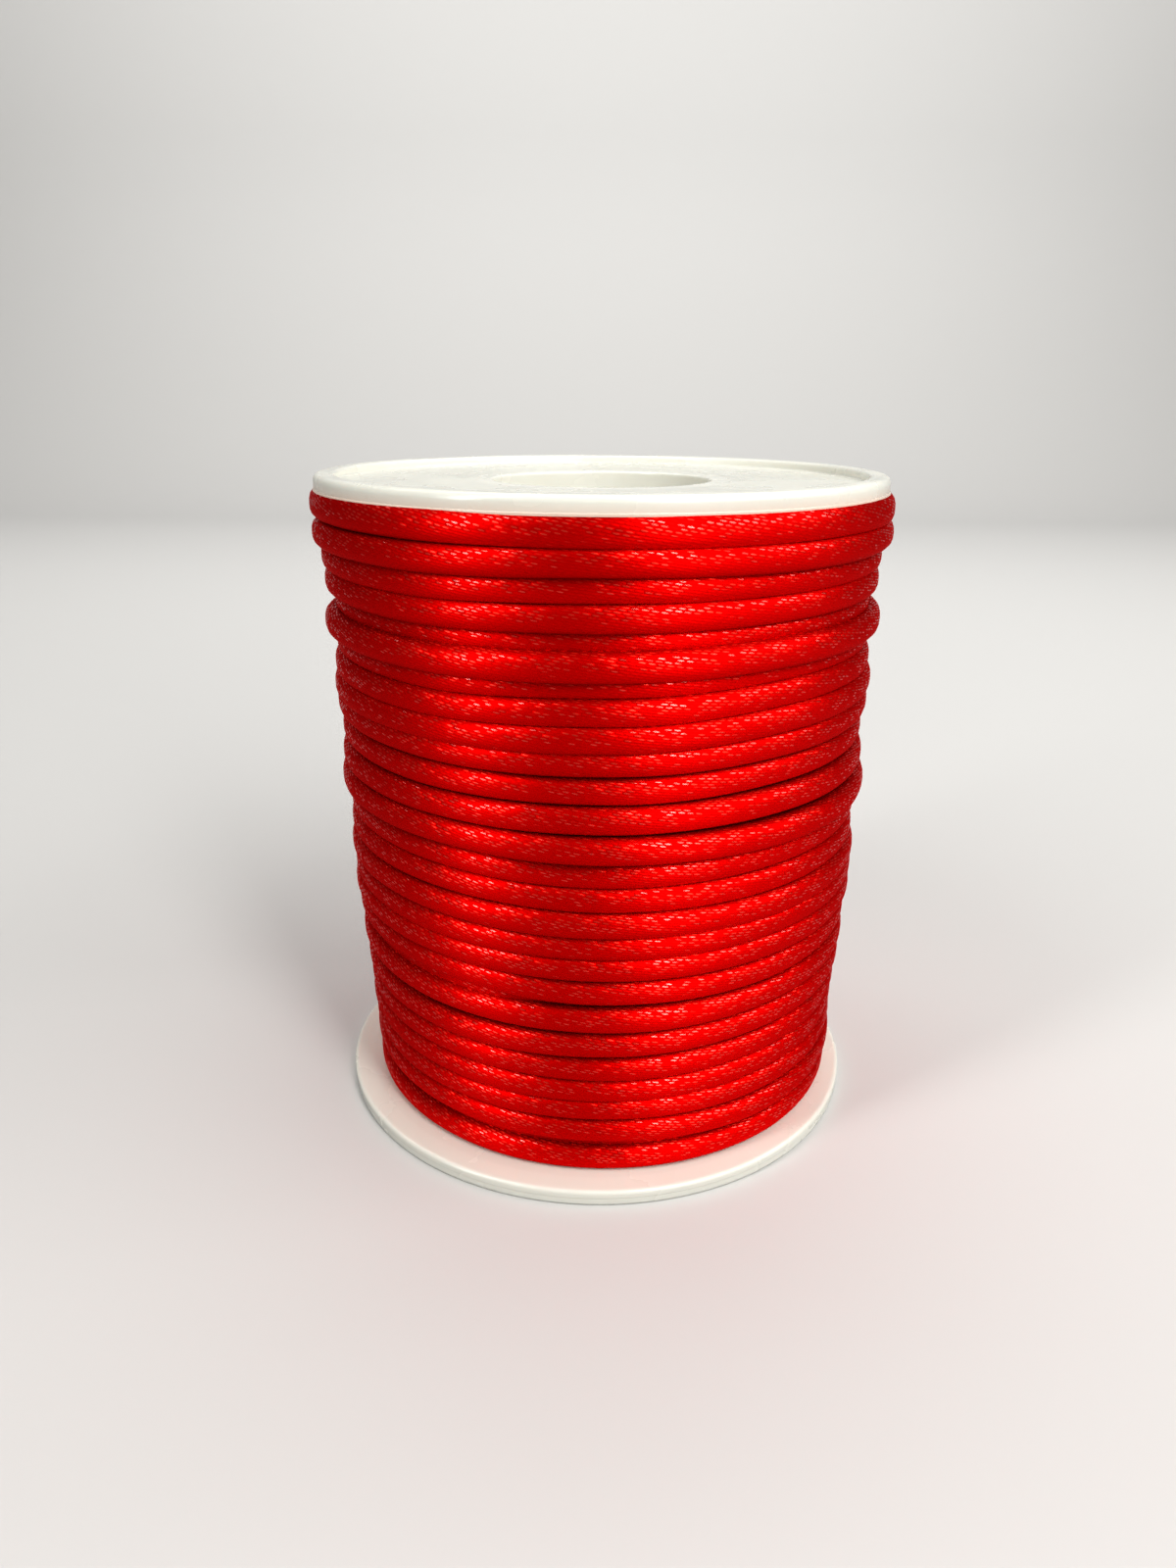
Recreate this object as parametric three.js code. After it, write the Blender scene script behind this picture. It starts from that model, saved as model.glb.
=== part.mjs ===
import * as THREE from "three";

// A spool of 2 mm rattail cord: a tube held between two moulded flanges and wound full.
// Millimetres, +Z up along the spool's axis, origin in the middle of the plane it stands on.
// The side called the front faces -Y, and the right side faces +X.

// Driving dimensions
const cordDiameter = 2;
const spoolHeight = 53;
const flangeRadius = 22.5;
const rimHeight = 1.3;
const rimWidth = 1.6;
const rimRound = 0.5;
const webThickness = 0.65;
const spindleHoleRadius = 8.7;
const lipRound = 0.3;
const collarWall = 0.8;
const collarDepth = 4;
const tubeWall = 0.8;
const seatGap = 0.3;

// The cord's lie: it climbs one turn at a time, in a short stretch from the back to the left side
const climbStretch = 0.3;
const windingShift = { x: 0.6, y: 0.35 };

// The outer layer's turns from the foot up. height is a turn's middle at the front, tilt is what
// it gains towards the right side, and reach is the radius that the cord stands out to.
const turns = [
  { height: 2.6, tilt: 0, reach: 20.6 },
  { height: 4.9, tilt: -0.1, reach: 20.8 },
  { height: 6.95, tilt: 0.1, reach: 20.75 },
  { height: 8.85, tilt: 0.1, reach: 20.8 },
  { height: 10.8, tilt: 0.1, reach: 20.9 },
  { height: 13.0, tilt: 0.2, reach: 21.1 },
  { height: 15.3, tilt: 0, reach: 21.3 },
  { height: 17.6, tilt: -0.25, reach: 21.35 },
  { height: 19.65, tilt: -0.15, reach: 21.6 },
  { height: 21.5, tilt: 0, reach: 21.55 },
  { height: 23.4, tilt: -0.1, reach: 21.7 },
  { height: 25.35, tilt: -0.1, reach: 21.5 },
  { height: 27.15, tilt: 0, reach: 21.45 },
  { height: 29.2, tilt: 0.05, reach: 22.1 },
  { height: 31.4, tilt: 0.25, reach: 21.85 },
  { height: 33.4, tilt: 0.3, reach: 21.65 },
  { height: 35.35, tilt: 0.4, reach: 21.9 },
  { height: 37.15, tilt: 0.6, reach: 22.05 },
  { height: 39.0, tilt: 0.7, reach: 21.85 },
  { height: 40.65, tilt: 0.6, reach: 21.55 },
  { height: 42.2, tilt: 0.5, reach: 22.4 },
  { height: 43.8, tilt: 0.4, reach: 21.5 },
  { height: 45.4, tilt: 0.3, reach: 22.15 },
  { height: 47.15, tilt: 0.25, reach: 22.25 },
  { height: 48.75, tilt: 0.1, reach: 22.9 },
  { height: 50.4, tilt: 0, reach: 22.85 },
];

// How finely round shapes are cut
const flangeSegments = 64;
const arcSteps = 4;
const stepsPerTurn = 44;

// Sizes that follow from them
const holeToTube = spindleHoleRadius + collarWall + seatGap;
const tubeRadius = holeToTube + tubeWall;
const windingBase = rimHeight + seatGap;
const windingTop = spoolHeight - windingBase;
const windingInnerRadius = tubeRadius + seatGap;
const flankDrop = 0.07 * cordDiameter;
const grooveDrop = 0.26 * cordDiameter;
const edgeHeight = 0.42 * cordDiameter;
const wallDrop = 0.6 * cordDiameter;

const whitePlastic = new THREE.MeshStandardMaterial({ color: 0xf2f3ea, roughness: 0.25, metalness: 0 });
const redSatin = new THREE.MeshStandardMaterial({ color: 0xd00508, roughness: 0.4, metalness: 0 });

// Points of a quarter round from one direction to the next, in a profile of (radius, height)
function quarterRound(centreX, centreY, radius, startAngle, endAngle) {
  const points = [];
  for (let step = 0; step <= arcSteps; step += 1) {
    const angle = startAngle + ((endAngle - startAngle) * step) / arcSteps;
    points.push(new THREE.Vector2(centreX + radius * Math.cos(angle), centreY + radius * Math.sin(angle)));
  }
  return points;
}

// A flange as it is moulded, its inner face at height 0, its rim and web above, its collar below
function flangeGeometry() {
  const rimInner = flangeRadius - rimWidth;
  const collarRadius = spindleHoleRadius + collarWall;
  const profile = [
    new THREE.Vector2(spindleHoleRadius, -collarDepth),
    new THREE.Vector2(collarRadius, -collarDepth),
    new THREE.Vector2(collarRadius, 0),
    ...quarterRound(flangeRadius - rimRound, rimRound, rimRound, -Math.PI / 2, 0),
    ...quarterRound(flangeRadius - rimRound, rimHeight - rimRound, rimRound, 0, Math.PI / 2),
    new THREE.Vector2(rimInner, rimHeight),
    new THREE.Vector2(rimInner, webThickness),
    new THREE.Vector2(spindleHoleRadius + lipRound, webThickness),
    new THREE.Vector2(spindleHoleRadius, webThickness - lipRound),
    new THREE.Vector2(spindleHoleRadius, -collarDepth),
  ];
  return latheAlongZ(profile, flangeSegments);
}

// A tube's profile, closed on itself
function tubeGeometry(innerRadius, outerRadius, length) {
  const profile = [
    new THREE.Vector2(innerRadius, 0),
    new THREE.Vector2(outerRadius, 0),
    new THREE.Vector2(outerRadius, length),
    new THREE.Vector2(innerRadius, length),
    new THREE.Vector2(innerRadius, 0),
  ];
  return latheAlongZ(profile, flangeSegments);
}

function latheAlongZ(profile, segments) {
  const geometry = new THREE.LatheGeometry(profile, segments);
  geometry.rotateX(Math.PI / 2);
  return geometry;
}

// The cord's middle line after so many steps, counted from the back, round by the left side
function cordAt(step) {
  const turn = Math.min(Math.floor(step / stepsPerTurn), turns.length - 1);
  const share = step / stepsPerTurn - turn;
  const climb = THREE.MathUtils.smoothstep(share, 0, climbStretch);
  const below = turns[Math.max(turn - 1, 0)];
  const here = turns[turn];
  const angle = Math.PI / 2 + 2 * Math.PI * share;
  const mix = (name) => THREE.MathUtils.lerp(below[name], here[name], climb);
  return {
    angle,
    height: mix("height") + mix("tilt") * Math.cos(angle),
    reach: mix("reach"),
  };
}

// The wound form as one closed skin. Each step of the cord has a groove, a lower flank, a crest
// and an upper flank, and the skin joins each turn to the one above it along their groove.
function windingGeometry() {
  const positions = [];
  const triangles = [];
  const firstStep = Math.round(climbStretch * stepsPerTurn);
  const lastStep = turns.length * stepsPerTurn;

  // The outer skin leans over the bore: it is shifted most at the foot and not at all at the top
  function addPoint(angle, radius, height, lean = 1 - height / spoolHeight) {
    const x = radius * Math.cos(angle) + windingShift.x * lean;
    const y = radius * Math.sin(angle) + windingShift.y * lean;
    positions.push(x, y, height);
    return positions.length / 3 - 1;
  }

  function addQuad(a, b, c, d) {
    triangles.push(a, b, c, a, c, d);
  }

  function addFan(hub, rim) {
    for (let index = 0; index + 1 < rim.length; index += 1) {
      triangles.push(hub, rim[index], rim[index + 1]);
    }
  }

  function addRing(radiusAt, height, lean) {
    const ring = [];
    for (let column = 0; column < stepsPerTurn; column += 1) {
      const angle = Math.PI / 2 + (2 * Math.PI * column) / stepsPerTurn;
      ring.push(addPoint(angle, radiusAt(column), height, lean));
    }
    return ring;
  }

  // The skin's rows at each step of the cord
  const skin = new Map();
  for (let step = firstStep; step <= lastStep; step += 1) {
    const cord = cordAt(step);
    const onFlange = step < firstStep + stepsPerTurn;
    const under = onFlange ? null : cordAt(step - stepsPerTurn);
    const above = step + stepsPerTurn <= lastStep ? cordAt(step + stepsPerTurn) : null;
    const lower = under ? (under.height + cord.height) / 2 : cord.height - edgeHeight;
    const upper = above ? (above.height + cord.height) / 2 : cord.height + edgeHeight;
    const grooveRadius = (under ? Math.min(under.reach, cord.reach) : cord.reach) - grooveDrop;
    skin.set(step, [
      addPoint(cord.angle, grooveRadius, lower),
      addPoint(cord.angle, cord.reach - flankDrop, (lower + cord.height) / 2),
      addPoint(cord.angle, cord.reach, cord.height),
      addPoint(cord.angle, cord.reach - flankDrop, (upper + cord.height) / 2),
    ]);
  }

  // The last turn's upper edge, which starts where its own end lies over its start
  const upperEdge = new Map([[lastStep - stepsPerTurn, skin.get(lastStep)[0]]]);
  for (let step = lastStep - stepsPerTurn + 1; step <= lastStep; step += 1) {
    const cord = cordAt(step);
    upperEdge.set(step, addPoint(cord.angle, cord.reach - grooveDrop, cord.height + edgeHeight));
  }

  const rowAbove = (step) =>
    step + stepsPerTurn <= lastStep ? skin.get(step + stepsPerTurn)[0] : upperEdge.get(step);
  for (let step = firstStep; step < lastStep; step += 1) {
    const atLastTurn = step >= lastStep - stepsPerTurn;
    const here = [...skin.get(step), atLastTurn ? upperEdge.get(step) : rowAbove(step)];
    const next = [...skin.get(step + 1), rowAbove(step + 1)];
    for (let row = 0; row < 4; row += 1) {
      addQuad(here[row], next[row], next[row + 1], here[row + 1]);
    }
  }

  // Walls behind the cord, down to the lower flange and up to the upper one
  const lowRing = addRing((column) => cordAt(firstStep + column).reach - wallDrop, windingBase);
  const highRing = addRing((column) => cordAt(lastStep - stepsPerTurn + column).reach - wallDrop, windingTop);
  const innerLow = addRing(() => windingInnerRadius, windingBase, 0);
  const innerHigh = addRing(() => windingInnerRadius, windingTop, 0);
  const columnOf = (step) => step % stepsPerTurn;
  for (let step = firstStep; step < firstStep + stepsPerTurn; step += 1) {
    const here = lowRing[columnOf(step)];
    const next = lowRing[columnOf(step + 1)];
    addQuad(here, next, skin.get(step + 1)[0], skin.get(step)[0]);
  }
  for (let step = lastStep - stepsPerTurn; step < lastStep; step += 1) {
    const here = highRing[columnOf(step)];
    const next = highRing[columnOf(step + 1)];
    addQuad(upperEdge.get(step), upperEdge.get(step + 1), next, here);
  }

  // Flat faces across the cord where the layer starts and ends
  const startFace = [...skin.get(firstStep), skin.get(firstStep + stepsPerTurn)[0]];
  addFan(lowRing[columnOf(firstStep)], startFace);
  const endFace = [...skin.get(lastStep), upperEdge.get(lastStep)].reverse();
  addFan(highRing[columnOf(lastStep)], endFace);

  // The ends against the flanges, and the bore that the tube fills
  for (let column = 0; column < stepsPerTurn; column += 1) {
    const next = (column + 1) % stepsPerTurn;
    addQuad(innerLow[column], innerLow[next], lowRing[next], lowRing[column]);
    addQuad(highRing[column], highRing[next], innerHigh[next], innerHigh[column]);
    addQuad(innerHigh[column], innerHigh[next], innerLow[next], innerLow[column]);
  }

  const geometry = new THREE.BufferGeometry();
  geometry.setAttribute("position", new THREE.Float32BufferAttribute(positions, 3));
  geometry.setIndex(triangles);
  geometry.computeVertexNormals();
  return geometry;
}

function namedMesh(name, geometry, material) {
  const mesh = new THREE.Mesh(geometry, material);
  mesh.name = name;
  return mesh;
}

const spool = new THREE.Group();

const topFlange = namedMesh("flange_top", flangeGeometry(), whitePlastic);
topFlange.position.z = spoolHeight - rimHeight;
spool.add(topFlange);

const bottomFlange = namedMesh("flange_bottom", flangeGeometry(), whitePlastic);
bottomFlange.rotation.x = Math.PI;
bottomFlange.position.z = rimHeight;
spool.add(bottomFlange);

const tubeLength = spoolHeight - 2 * (rimHeight + seatGap);
const barrel = namedMesh("barrel", tubeGeometry(holeToTube, tubeRadius, tubeLength), whitePlastic);
barrel.position.z = rimHeight + seatGap;
spool.add(barrel);

spool.add(namedMesh("cord_winding", windingGeometry(), redSatin));

export default spool;
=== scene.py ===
import math

import bpy
import numpy as np
from mathutils import Matrix, Vector


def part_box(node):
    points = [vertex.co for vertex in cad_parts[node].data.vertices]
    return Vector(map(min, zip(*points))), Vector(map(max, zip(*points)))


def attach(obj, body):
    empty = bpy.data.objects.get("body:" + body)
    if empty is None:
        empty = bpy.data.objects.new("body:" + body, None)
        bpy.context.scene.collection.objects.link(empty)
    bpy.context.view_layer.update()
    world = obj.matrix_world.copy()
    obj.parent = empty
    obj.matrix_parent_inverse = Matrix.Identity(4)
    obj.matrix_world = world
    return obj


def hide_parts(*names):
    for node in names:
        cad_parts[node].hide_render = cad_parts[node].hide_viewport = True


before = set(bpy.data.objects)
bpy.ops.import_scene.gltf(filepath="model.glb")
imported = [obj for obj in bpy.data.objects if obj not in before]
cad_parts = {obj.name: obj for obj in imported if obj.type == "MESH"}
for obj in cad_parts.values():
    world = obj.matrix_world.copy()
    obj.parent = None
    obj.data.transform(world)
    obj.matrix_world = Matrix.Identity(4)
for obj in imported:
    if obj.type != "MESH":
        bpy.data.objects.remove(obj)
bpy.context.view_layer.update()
mm = 0.001
print("stage 1: the spool's frame is loaded")

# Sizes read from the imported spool, in millimetres
seatGap = 0.3
tubeWall = 0.8
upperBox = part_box("flange_top")
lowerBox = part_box("flange_bottom")
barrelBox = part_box("barrel")
spool = {
    "height": upperBox[1][2] / mm,
    "flangeRadius": upperBox[1][0] / mm,
    "rimHeight": barrelBox[0][2] / mm - seatGap,
    "rimWidth": 1.6,
    "rimRound": 0.8,
    "rimFlash": 0.06,
    "flashFoot": 0.13,
    "flashTop": 0.19,
    "flashStep": 0.02,
    "rimDraft": 0.06,
    "webDraft": 0.08,
    "webThickness": 0.65,
    "holeRadius": 8.7,
    "collarWall": 0.8,
    "barrelInner": barrelBox[1][0] / mm - tubeWall,
    "barrelOuter": barrelBox[1][0] / mm,
    "roundSteps": 6,
    "segments": 320,
}
spool["collarDepth"] = lowerBox[1][2] / mm - spool["rimHeight"]

# The lie of the cord in the outer layer, from the foot up, in millimetres.
# Each turn: height at the left, the front and the right, and the radius it stands out to
winding = {
    "cordRadius": 1.0,
    "climbStretch": 0.3,
    "heightShares": (0.4, 0.506, 0.61),
    "shift": (0.6, 0.35),
    "stepsPerTurn": 112,
    "sides": 20,
    "layerStep": 1.72,
    "flatFront": 0.98,
    "softness": 13.0,
    "looseSize": 1.06,
    "pressedSwell": 0.04,
    "squeezeSwell": 0.12,
    "tuckStretch": 0.06,
    "tuckDepth": 1.8,
    "endOverlap": 0.15,
    "endRun": 0.04,
    "waver": 0.05,
    "rimPress": 0.2,
    "turns": [
        (2.36, 2.36, 2.36, 20.6),
        (5.08, 5.07, 4.76, 20.8),
        (6.96, 7.13, 7.00, 20.75),
        (8.75, 8.66, 8.89, 20.8),
        (10.64, 10.59, 10.81, 20.9),
        (12.60, 12.84, 13.11, 21.1),
        (15.16, 15.07, 15.26, 21.3),
        (17.84, 17.41, 17.43, 21.35),
        (19.66, 19.50, 19.56, 21.6),
        (21.24, 21.19, 21.41, 21.55),
        (23.23, 23.02, 23.04, 21.7),
        (25.23, 24.95, 25.00, 21.5),
        (26.98, 26.77, 27.01, 21.45),
        (29.10, 28.90, 28.93, 22.1),
        (31.08, 31.10, 31.34, 21.85),
        (33.17, 33.19, 33.59, 21.65),
        (35.28, 35.35, 35.67, 21.9),
        (36.76, 37.01, 37.53, 22.05),
        (38.52, 38.81, 39.33, 21.85),
        (40.33, 40.69, 41.01, 21.55),
        (41.86, 42.04, 42.33, 22.4),
        (43.40, 43.62, 43.78, 21.5),
        (45.10, 45.30, 45.41, 22.15),
        (46.92, 47.18, 47.18, 22.25),
        (48.74, 48.99, 48.86, 22.9),
        (50.82, 50.64, 50.64, 22.9),
    ],
}


# Meshes from arrays of points and faces
def makePiece(name, points, quads, materials, caps=(), uv=None):
    mesh = bpy.data.meshes.new(name)
    faces = [tuple(q) for q in quads] + [tuple(c) for c in caps]
    mesh.from_pydata([tuple(p) for p in points], [], faces)
    if uv is not None:
        layer = mesh.uv_layers.new(name="alongCord")
        flat = np.zeros((len(mesh.loops), 2), dtype=np.float32)
        flat[: len(uv)] = uv
        layer.data.foreach_set("uv", flat.ravel())
    mesh.validate()
    mesh.update()
    mesh.shade_smooth()
    mesh.set_sharp_from_angle(angle=math.radians(50))
    piece = bpy.data.objects.new(name, mesh)
    bpy.context.scene.collection.objects.link(piece)
    for material in materials:
        mesh.materials.append(material)
    return piece


# Shader helpers
def addNode(tree, kind, place, **values):
    node = tree.nodes.new(kind)
    node.location = place
    for key, value in values.items():
        setattr(node, key, value)
    return node


def mathNode(tree, operation, place, first, second=None, third=None, clamp=False):
    node = addNode(tree, "ShaderNodeMath", place, operation=operation, use_clamp=clamp)
    for index, value in enumerate((first, second, third)):
        if value is None:
            continue
        if isinstance(value, (int, float)):
            node.inputs[index].default_value = value
        else:
            tree.links.new(value, node.inputs[index])
    return node.outputs[0]


def groupSockets(group, inputs, outputs):
    for name, kind, value in inputs:
        socket = group.interface.new_socket(name=name, in_out="INPUT", socket_type=kind)
        if value is not None:
            socket.default_value = value
    for name, kind in outputs:
        group.interface.new_socket(name=name, in_out="OUTPUT", socket_type=kind)


# Satin floats: short threads lying along the cord, staggered from row to row.
# The vector's X runs along the cord and its Y round it, both in metres.
floatShape = {"acrossDrop": 5.0, "alongDrop": 2.3, "crownFrom": 0.58, "crownTo": 0.86, "rowDrift": 0.3}


def makeSatinFloats():
    group = bpy.data.node_groups.new("satinFloats", "ShaderNodeTree")
    groupSockets(
        group,
        [
            ("Vector", "NodeSocketVector", None),
            ("Float Length", "NodeSocketFloat", 0.0007),
            ("Float Width", "NodeSocketFloat", 0.0003),
            ("Stagger", "NodeSocketFloat", 0.5),
            ("Slant", "NodeSocketFloat", 0.2),
        ],
        [
            ("Height", "NodeSocketFloat"),
            ("Crown", "NodeSocketFloat"),
            ("Random", "NodeSocketFloat"),
            ("Lie", "NodeSocketColor"),
        ],
    )
    enter = addNode(group, "NodeGroupInput", (-1200, 0))
    leave = addNode(group, "NodeGroupOutput", (900, 0))
    split = addNode(group, "ShaderNodeSeparateXYZ", (-1000, 0))
    group.links.new(enter.outputs["Vector"], split.inputs[0])
    lengthwise, crosswise = split.outputs[0], split.outputs[1]
    slanted = mathNode(group, "MULTIPLY_ADD", (-820, -120), lengthwise, enter.outputs["Slant"], crosswise)
    across = mathNode(group, "DIVIDE", (-640, -120), slanted, enter.outputs["Float Width"])
    row = mathNode(group, "FLOOR", (-460, -120), across)
    rowShare = mathNode(group, "FRACT", (-460, -240), across)
    rowPlace = mathNode(group, "SUBTRACT", (-280, -220), rowShare, 0.5)
    runCount = mathNode(group, "DIVIDE", (-640, 120), lengthwise, enter.outputs["Float Length"])
    rowChance = addNode(group, "ShaderNodeTexWhiteNoise", (-640, 300), noise_dimensions="1D")
    group.links.new(row, rowChance.inputs["W"])
    along = mathNode(group, "MULTIPLY_ADD", (-460, 120), row, enter.outputs["Stagger"], runCount)
    drift = floatShape["rowDrift"]
    along = mathNode(group, "MULTIPLY_ADD", (-380, 240), rowChance.outputs["Value"], drift, along)
    column = mathNode(group, "FLOOR", (-280, 120), along)
    columnShare = mathNode(group, "FRACT", (-460, 0), along)
    columnPlace = mathNode(group, "SUBTRACT", (-280, 0), columnShare, 0.5)
    # Round across the thread, long and flat along it, dipping where it goes under
    acrossDrop = mathNode(group, "MULTIPLY", (-100, -220), rowPlace, rowPlace)
    acrossDome = mathNode(group, "MULTIPLY_ADD", (60, -220), acrossDrop, -floatShape["acrossDrop"], 1.0)
    alongDrop = mathNode(group, "MULTIPLY", (-100, 0), columnPlace, columnPlace)
    alongDome = mathNode(group, "MULTIPLY_ADD", (220, 0), alongDrop, -floatShape["alongDrop"], 1.0)
    dome = mathNode(group, "MULTIPLY", (400, -100), acrossDome, alongDome, clamp=True)
    flatTop = addNode(group, "ShaderNodeMapRange", (580, -200), interpolation_type="SMOOTHSTEP")
    flatTop.inputs["From Min"].default_value = floatShape["crownFrom"]
    flatTop.inputs["From Max"].default_value = floatShape["crownTo"]
    group.links.new(dome, flatTop.inputs["Value"])
    crown = flatTop.outputs[0]
    place = addNode(group, "ShaderNodeCombineXYZ", (60, 220))
    group.links.new(column, place.inputs[0])
    group.links.new(row, place.inputs[1])
    chance = addNode(group, "ShaderNodeTexWhiteNoise", (240, 220), noise_dimensions="3D")
    group.links.new(place.outputs[0], chance.inputs["Vector"])
    lift = mathNode(group, "MULTIPLY_ADD", (420, 120), chance.outputs["Value"], 0.2, 0.8)
    height = mathNode(group, "MULTIPLY", (600, 0), dome, lift)
    group.links.new(height, leave.inputs["Height"])
    group.links.new(crown, leave.inputs["Crown"])
    group.links.new(chance.outputs["Value"], leave.inputs["Random"])
    group.links.new(chance.outputs["Color"], leave.inputs["Lie"])
    return group


# Wear of moulded plastic: fine scratches, duller patches and a faint wave of the mould
def makePlasticWear():
    group = bpy.data.node_groups.new("plasticWear", "ShaderNodeTree")
    groupSockets(
        group,
        [
            ("Vector", "NodeSocketVector", None),
            ("Scratch Scale", "NodeSocketFloat", 420.0),
            ("Patch Scale", "NodeSocketFloat", 120.0),
            ("Wave Scale", "NodeSocketFloat", 60.0),
        ],
        [
            ("Scratches", "NodeSocketFloat"),
            ("Patches", "NodeSocketFloat"),
            ("Wave", "NodeSocketFloat"),
        ],
    )
    enter = addNode(group, "NodeGroupInput", (-1000, 0))
    leave = addNode(group, "NodeGroupOutput", (700, 0))
    stretch = addNode(group, "ShaderNodeMapping", (-800, 200))
    stretch.inputs["Rotation"].default_value = (0.0, 0.0, math.radians(24))
    stretch.inputs["Scale"].default_value = (1.0, 7.0, 7.0)
    group.links.new(enter.outputs["Vector"], stretch.inputs["Vector"])
    streaks = addNode(group, "ShaderNodeTexNoise", (-600, 200))
    streaks.inputs["Detail"].default_value = 4.0
    streaks.inputs["Distortion"].default_value = 0.4
    group.links.new(stretch.outputs[0], streaks.inputs["Vector"])
    group.links.new(enter.outputs["Scratch Scale"], streaks.inputs["Scale"])
    thin = addNode(group, "ShaderNodeMapRange", (-400, 200))
    thin.inputs["From Min"].default_value = 0.66
    thin.inputs["From Max"].default_value = 0.74
    group.links.new(streaks.outputs["Fac"], thin.inputs["Value"])
    patches = addNode(group, "ShaderNodeTexNoise", (-600, -60))
    patches.inputs["Detail"].default_value = 5.0
    group.links.new(enter.outputs["Vector"], patches.inputs["Vector"])
    group.links.new(enter.outputs["Patch Scale"], patches.inputs["Scale"])
    soft = addNode(group, "ShaderNodeMapRange", (-400, -60))
    soft.inputs["From Min"].default_value = 0.42
    soft.inputs["From Max"].default_value = 0.68
    group.links.new(patches.outputs["Fac"], soft.inputs["Value"])
    wave = addNode(group, "ShaderNodeTexNoise", (-600, -320))
    wave.inputs["Detail"].default_value = 1.0
    group.links.new(enter.outputs["Vector"], wave.inputs["Vector"])
    group.links.new(enter.outputs["Wave Scale"], wave.inputs["Scale"])
    scratches = mathNode(group, "MULTIPLY", (-200, 120), thin.outputs[0], soft.outputs[0], clamp=True)
    group.links.new(scratches, leave.inputs["Scratches"])
    group.links.new(soft.outputs[0], leave.inputs["Patches"])
    group.links.new(wave.outputs["Fac"], leave.inputs["Wave"])
    return group


satinFloats = makeSatinFloats()
plasticWear = makePlasticWear()
print("stage 2: weave and wear groups are made")

# Red satin: brighter on the crowns of the floats, with painted shade, a deeper red, where the threads dip
satinLook = {
    "crown": (0.76, 0.001, 0.001, 1.0),
    "dipPaintedShade": (0.7, 0.0, 0.0, 1.0),
    "glintAndPaintedHighlight": (0.95, 0.045, 0.025, 1.0),
    "paintedGrooveShade": 0.5,
    "tintVariation": 0.14,
    "roughShiny": 0.4,
    "roughDull": 0.53,
    "shinyShare": 0.56,
    "tiltAcross": 0.08,
    "tiltAlong": 0.08,
    "metal": 0.85,
    "ior": 1.5,
    "glintRough": 0.17,
    "glintIor": 1.5,
    "specular": 0.5,
    "specularTint": (1.0, 0.12, 0.08, 1.0),
    "anisotropy": 0.7,
    "floatLength": 0.0006,
    "floatWidth": 0.001 * 2 * math.pi / 32,
    "slant": 0.16,
    "reliefDepth": 0.00006,
    "reliefStrength": 0.25,
}


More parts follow.
